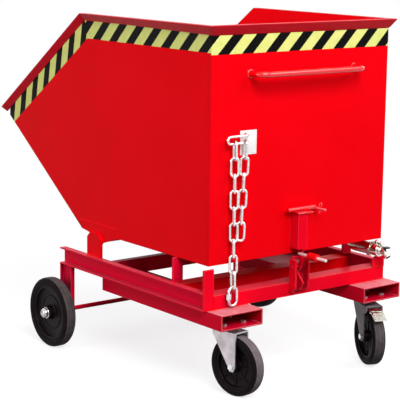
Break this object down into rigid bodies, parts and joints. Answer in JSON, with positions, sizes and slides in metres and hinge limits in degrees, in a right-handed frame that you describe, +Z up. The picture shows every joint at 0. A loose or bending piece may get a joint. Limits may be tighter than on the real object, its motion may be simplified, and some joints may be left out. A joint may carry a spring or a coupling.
{
  "type": "tipping skip trolley",
  "caption": "Sheet-steel skip with a sloping pouring front, hinged on a wheeled frame with fork pockets, push handle, foot latch, drain tap and safety chain.",
  "frame": {"origin": "on the floor under the middle of the trolley's bounding box", "axes": "+X to the right of the person pushing, +Y forwards to the pouring lip, +Z up"},
  "size_m": [1.0586, 1.4131, 1.193],
  "materials": {
    "red_paint": "glossy red enamel on sheet steel",
    "bright_zinc": "bright zinc plate",
    "pressed_zinc": "zinc plated pressed steel",
    "bare_steel": "drawn bare steel",
    "nickel_plate": "nickel plated brass",
    "lever_paint": "dark dipped steel lever",
    "red_plastic": "red moulded roller",
    "sieve_steel": "perforated galvanised sheet",
    "tyre_rubber": "black solid rubber",
    "wheel_plastic": "black moulded wheel centre"
  },
  "bodies": {
    "frame": {"side_channel_left": "red_paint", "side_channel_right": "red_paint", "rear_tube": "red_paint", "middle_tube": "red_paint", "front_channel": "red_paint", "corner_posts": "red_paint", "support_posts": "red_paint", "hinge_posts": "red_paint", "hinge_shaft": "red_paint", "fork_pocket_left": "red_paint", "fork_pocket_right": "red_paint", "wheel_leg_left": "red_paint", "wheel_leg_right": "red_paint", "front_axle": "red_paint", "axle_caps": "bright_zinc", "latch_keeper": "red_paint", "latch_pivot_pin": "red_paint", "castor_left_plate": "pressed_zinc", "castor_right_plate": "pressed_zinc", "castor_bolts": "bright_zinc"},
    "skip": {"skip_rear_wall": "red_paint", "skip_left_wall": "red_paint", "skip_right_wall": "red_paint", "skip_floor": "red_paint", "skip_front_sheet": "red_paint", "rim_rear": "red_paint", "rim_left": "red_paint", "rim_right": "red_paint", "push_handle": "red_paint", "hinge_plates": "red_paint", "hinge_tube": "red_paint", "latch_column": "red_paint", "tipping_grip": "red_paint", "chain_staple": "bright_zinc", "drain_pipe": "nickel_plate", "drain_union": "nickel_plate", "tap_body": "nickel_plate", "drain_spout": "nickel_plate", "drain_sieve": "sieve_steel"},
    "latch": {"latch_hook": "red_paint", "latch_pedal": "bare_steel", "pedal_roller": "red_plastic"},
    "chain": {"chain": "bright_zinc"},
    "screw_link": {"screw_link": "bright_zinc"},
    "screw_link_sleeve": {"screw_link_sleeve": "bright_zinc"},
    "tap": {"tap_ball": "nickel_plate", "tap_lever": "lever_paint"},
    "castor_left": {"castor_left_fork": "pressed_zinc", "castor_left_axle": "bright_zinc"},
    "castor_left_rolling": {"castor_left_tyre": "tyre_rubber", "castor_left_wheel": "wheel_plastic"},
    "castor_right": {"castor_right_fork": "pressed_zinc", "castor_right_axle": "bright_zinc"},
    "castor_right_rolling": {"castor_right_tyre": "tyre_rubber", "castor_right_wheel": "wheel_plastic"},
    "castor_right_brake": {"castor_right_brake": "pressed_zinc"},
    "front_left": {"front_left_tyre": "tyre_rubber", "front_left_wheel": "wheel_plastic"},
    "front_right": {"front_right_tyre": "tyre_rubber", "front_right_wheel": "wheel_plastic"}
  },
  "joints": [
    {"name": "tip", "type": "hinge", "parent": "frame", "child": "skip", "pos_m": [0, 0.0875, 0.405], "axis": [-1, 0, 0], "range_deg": [0, 60]},
    {"name": "latch_pedal", "type": "hinge", "parent": "frame", "child": "latch", "pos_m": [-0.02, -0.5745, 0.385], "axis": [1, 0, 0], "range_deg": [-26, 0]},
    {"name": "chain_swing", "type": "hinge", "parent": "skip", "child": "chain", "pos_m": [-0.286, -0.5705, 0.819], "axis": [-1, 0, 0], "range_deg": [0, 60]},
    {"name": "screw_link_swing", "type": "hinge", "parent": "chain", "child": "screw_link", "pos_m": [-0.301, -0.5705, 0.3438], "axis": [0, 1, 0], "range_deg": [-45, 45]},
    {"name": "sleeve_slide", "type": "slide", "parent": "screw_link", "child": "screw_link_sleeve", "axis": [0, 0, 1], "range_m": [0, 0.005]},
    {"name": "tap_turn", "type": "hinge", "parent": "skip", "child": "tap", "pos_m": [0.345, -0.5705, 0.394], "axis": [0, 0, 1], "range_deg": [0, 90]},
    {"name": "castor_left_swivel", "type": "hinge", "parent": "frame", "child": "castor_left", "pos_m": [-0.312, -0.5565, 0.216], "axis": [0, 0, 1], "continuous": true},
    {"name": "castor_left_roll", "type": "hinge", "parent": "castor_left", "child": "castor_left_rolling", "pos_m": [-0.30452, -0.60594, 0.1], "axis": [0.9888, 0.1495, 0], "continuous": true},
    {"name": "castor_right_swivel", "type": "hinge", "parent": "frame", "child": "castor_right", "pos_m": [0.312, -0.5565, 0.216], "axis": [0, 0, 1], "continuous": true},
    {"name": "castor_right_roll", "type": "hinge", "parent": "castor_right", "child": "castor_right_rolling", "pos_m": [0.29246, -0.60252, 0.1], "axis": [0.9205, -0.3907, 0], "continuous": true},
    {"name": "castor_right_brake", "type": "hinge", "parent": "castor_right", "child": "castor_right_brake", "pos_m": [0.28269, -0.62554, 0.204], "axis": [0.9205, -0.3907, 0], "range_deg": [0, 8], "stiffness_Nm_per_rad": 1, "springref_deg": -11.46},
    {"name": "front_left_roll", "type": "hinge", "parent": "frame", "child": "front_left", "pos_m": [-0.483, 0.2275, 0.125], "axis": [1, 0, 0], "continuous": true},
    {"name": "front_right_roll", "type": "hinge", "parent": "frame", "child": "front_right", "pos_m": [0.483, 0.2275, 0.125], "axis": [1, 0, 0], "continuous": true}
  ]
}
